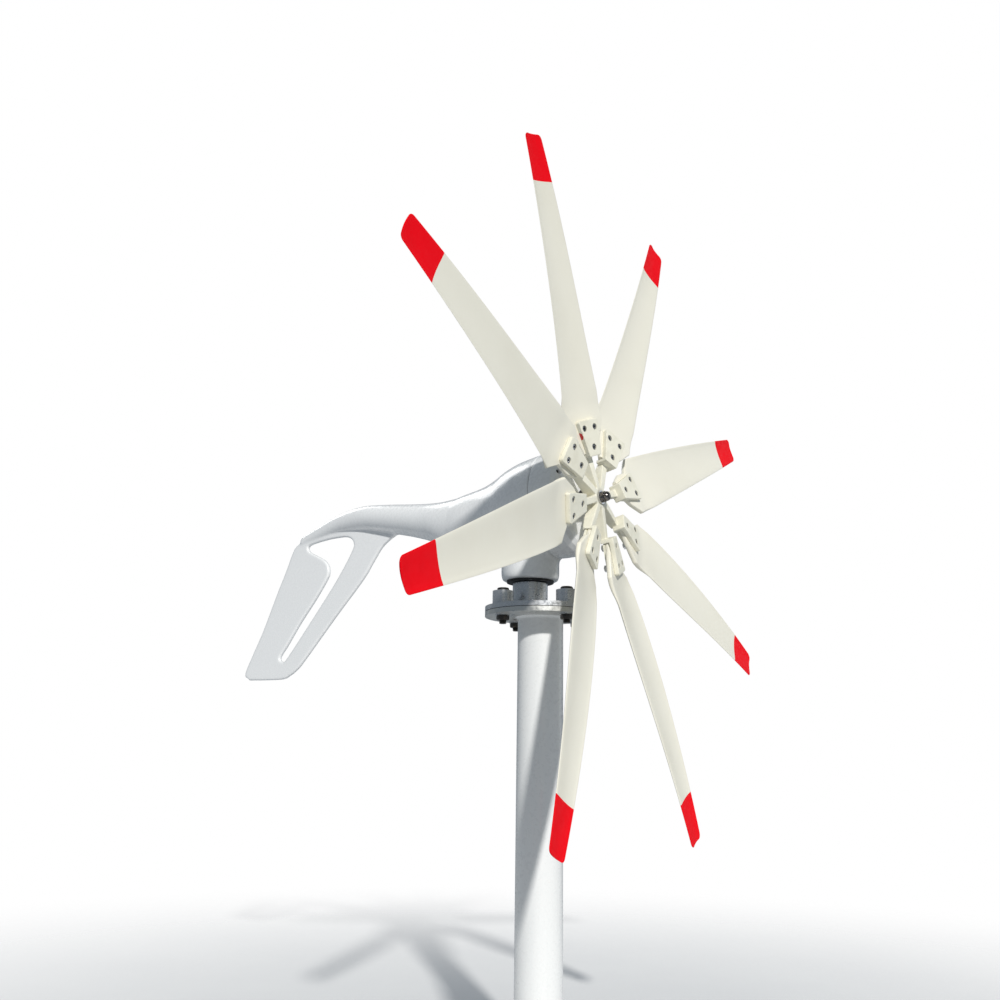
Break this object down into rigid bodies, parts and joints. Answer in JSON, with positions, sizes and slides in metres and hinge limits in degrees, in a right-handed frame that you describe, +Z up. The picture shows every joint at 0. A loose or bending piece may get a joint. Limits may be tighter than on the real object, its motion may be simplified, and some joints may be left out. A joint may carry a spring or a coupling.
{
  "type": "small horizontal-axis wind turbine",
  "caption": "Small upwind wind turbine: flat red-tipped blades bolted to a spoked hub, white housing with an S-shaped tail and cut-out fin, yawing on a flanged mast with a foot plate.",
  "frame": {"origin": "centre of the foot plate's underside, on the mast axis", "axes": "+Z up the mast, -Y the way the rotor faces, +Y towards the tail, X across"},
  "size_m": [1.1348, 0.8756, 1.4553],
  "materials": {
    "mast_paint": "gloss white paint",
    "flange_steel": "zinc-plated steel",
    "seal_rubber": "matt black",
    "machined_alloy": "machined",
    "dark_fasteners": "black-oxide steel",
    "bright_steel": "bright steel",
    "lamination_steel": "stacked laminations",
    "insulator_plastic": "moulded",
    "copper_parts": "copper",
    "carbon": "pressed carbon",
    "lead_insulation": "wire insulation",
    "housing_paint": "gloss white paint",
    "hub_paint": "cream paint over a casting",
    "blade_nylon": "moulded, satin",
    "tip_red": "red paint, satin",
    "cap_chrome": "tarnished chrome",
    "magnet_plating": "nickel plating"
  },
  "bodies": {
    "mast": {"foot_plate": "mast_paint", "mast_tube": "mast_paint", "mast_gussets": "mast_paint", "mast_flange": "flange_steel", "flange_gasket": "seal_rubber", "yaw_shaft": "machined_alloy", "flange_bolts": "dark_fasteners", "flange_washers": "bright_steel", "flange_nuts": "dark_fasteners", "yaw_bearing_inner_rings": "bright_steel", "yaw_locknut": "bright_steel", "slip_ring_core": "insulator_plastic", "slip_rings": "copper_parts"},
    "head": {"front_housing": "housing_paint", "rear_housing": "housing_paint", "housing_gasket": "seal_rubber", "housing_bolts": "dark_fasteners", "tail_boom": "housing_paint", "tail_fin": "housing_paint", "tail_screws": "dark_fasteners", "fin_pins": "dark_fasteners", "rotor_bearing_outer_rings": "bright_steel", "shaft_seal": "seal_rubber", "bearing_bracket": "machined_alloy", "bracket_screws": "dark_fasteners", "stator_core": "lamination_steel", "stator_windings": "copper_parts", "winding_leads": "lead_insulation", "brush_holder": "insulator_plastic", "brush_leaves": "copper_parts", "brushes": "carbon", "brush_holder_screws": "dark_fasteners", "yaw_bearing_outer_rings": "bright_steel", "yaw_bearing_balls": "bright_steel", "yaw_seal": "seal_rubber"},
    "rotor": {"hub_casting": "hub_paint", "blade_1": "blade_nylon", "blade_2": "blade_nylon", "blade_3": "blade_nylon", "blade_4": "blade_nylon", "blade_5": "blade_nylon", "blade_6": "blade_nylon", "blade_7": "blade_nylon", "blade_8": "blade_nylon", "blade_tips": "tip_red", "backing_plates": "hub_paint", "blade_bolts": "bright_steel", "blade_nuts": "bright_steel", "main_shaft": "bright_steel", "shaft_key": "bright_steel", "hub_washer": "bright_steel", "cap_nut": "cap_chrome", "rotor_core": "lamination_steel", "magnets": "magnet_plating", "rotor_bearing_inner_rings": "bright_steel", "rotor_bearing_balls": "bright_steel", "core_locknut": "bright_steel"}
  },
  "joints": [
    {"name": "yaw", "type": "hinge", "parent": "mast", "child": "head", "pos_m": [0, 0.021, 0.78], "axis": [0, 0, 1], "continuous": true},
    {"name": "rotor_spin", "type": "hinge", "parent": "head", "child": "rotor", "pos_m": [0, -0.09884, 0.88628], "axis": [0, 0.9986, -0.0523], "continuous": true}
  ]
}
